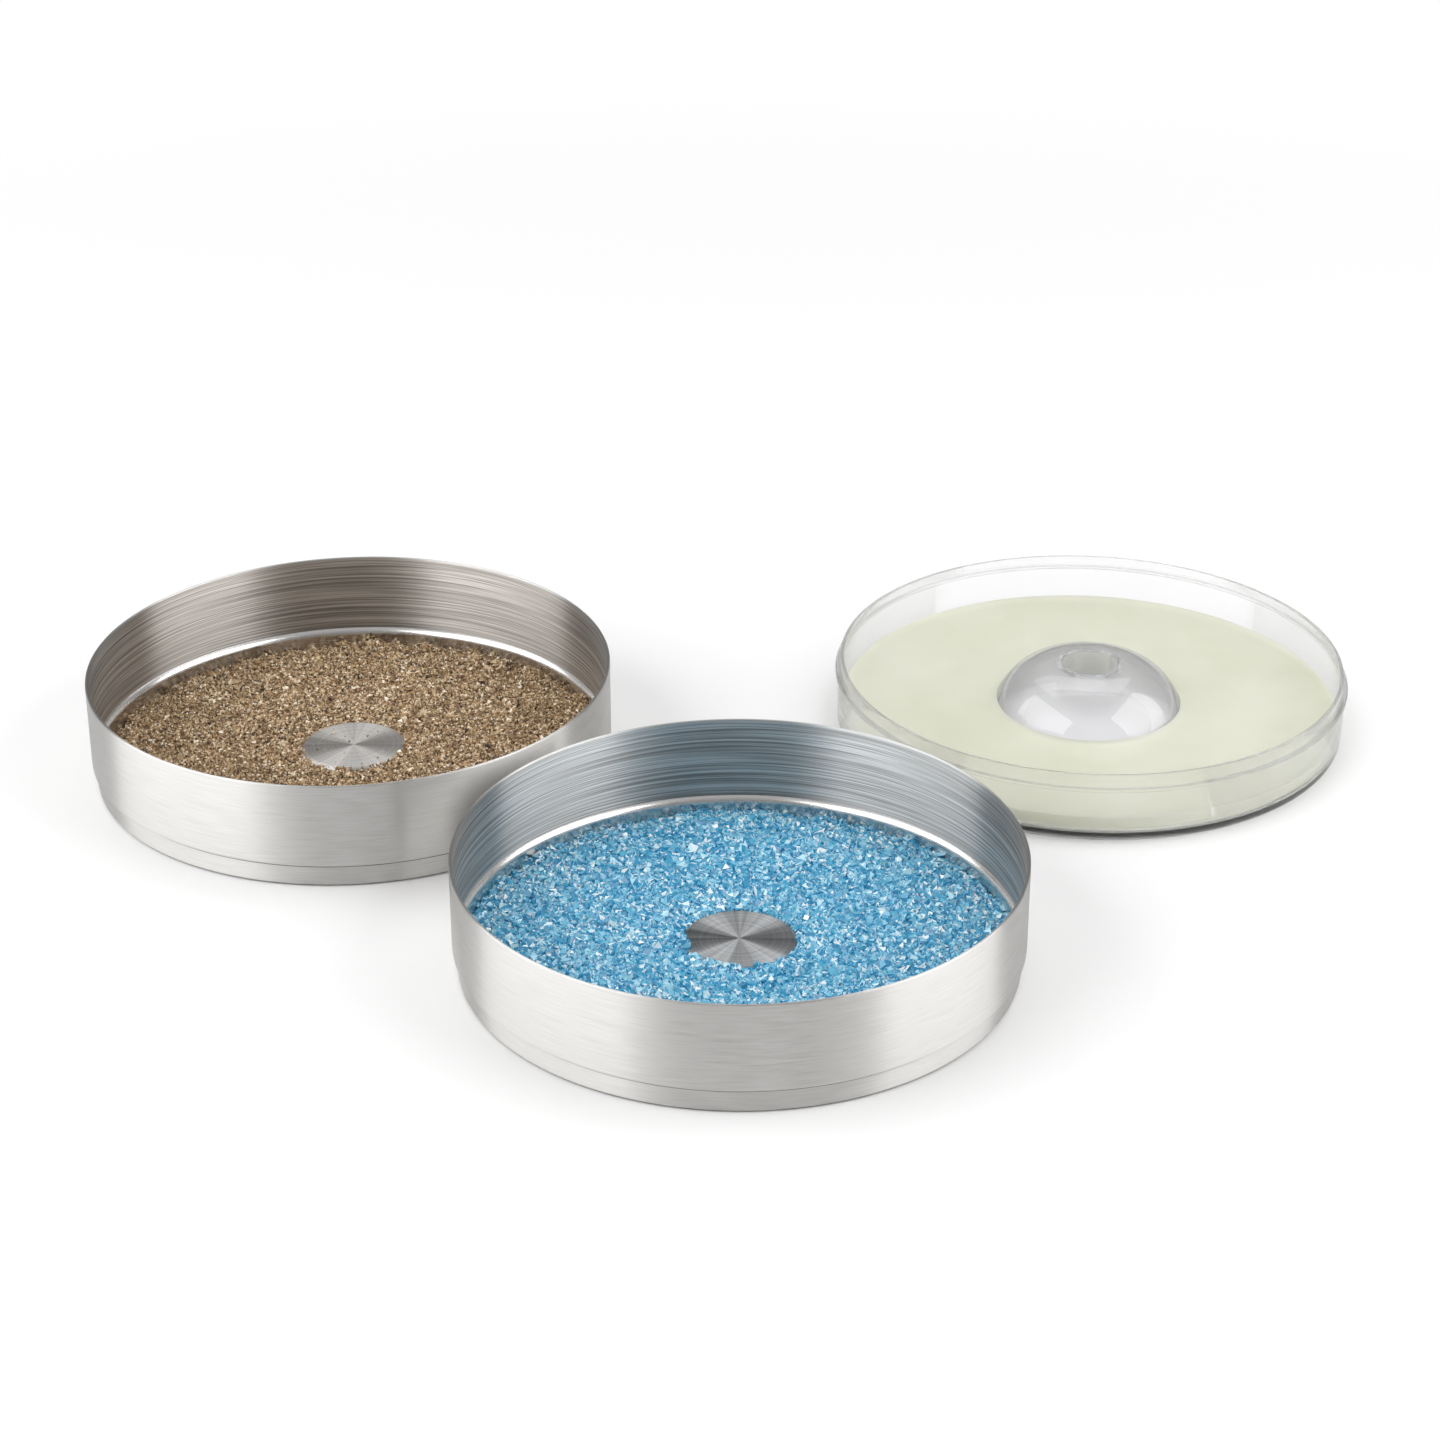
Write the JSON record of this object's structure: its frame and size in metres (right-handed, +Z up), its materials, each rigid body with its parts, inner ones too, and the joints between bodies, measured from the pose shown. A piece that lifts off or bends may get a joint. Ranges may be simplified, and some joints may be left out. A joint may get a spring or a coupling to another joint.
{
  "type": "cocktail glass rimmer",
  "caption": "Set of round stacking glass-rimming trays: brushed steel trays with a centre boss hold coloured sugar, and a clear tray with a hollow dome holds lime juice.",
  "frame": {"origin": "middle of the set's footprint, on the surface that the trays stand on", "axes": "+Z up, +X to the right and +Y to the back as the set stands side by side in the picture, with the blue sugar tray in front"},
  "size_m": [0.3544, 0.2748, 0.0304],
  "materials": {
    "brushed_stainless": "lathe-brushed stainless steel, polished step",
    "clear_plastic": "clear injection-moulded plastic",
    "blue_sugar": "loose blue sugar crystals",
    "brown_spiced_sugar": "loose brown sugar with ground spice",
    "lime_juice": "cloudy pale green juice"
  },
  "bodies": {
    "front_tray": {"front_steel_tray": "brushed_stainless", "blue_sugar": "blue_sugar"},
    "left_tray": {"left_steel_tray": "brushed_stainless", "brown_spiced_sugar": "brown_spiced_sugar"},
    "clear_tray": {"clear_juice_tray": "clear_plastic", "lime_juice": "lime_juice"}
  },
  "joints": [
    {"name": "left_tray_lift", "type": "slide", "parent": "front_tray", "child": "left_tray", "axis": [0, 0, 1], "range_m": [0, 0.1]},
    {"name": "clear_tray_lift", "type": "slide", "parent": "front_tray", "child": "clear_tray", "axis": [0, 0, 1], "range_m": [0, 0.1]}
  ]
}
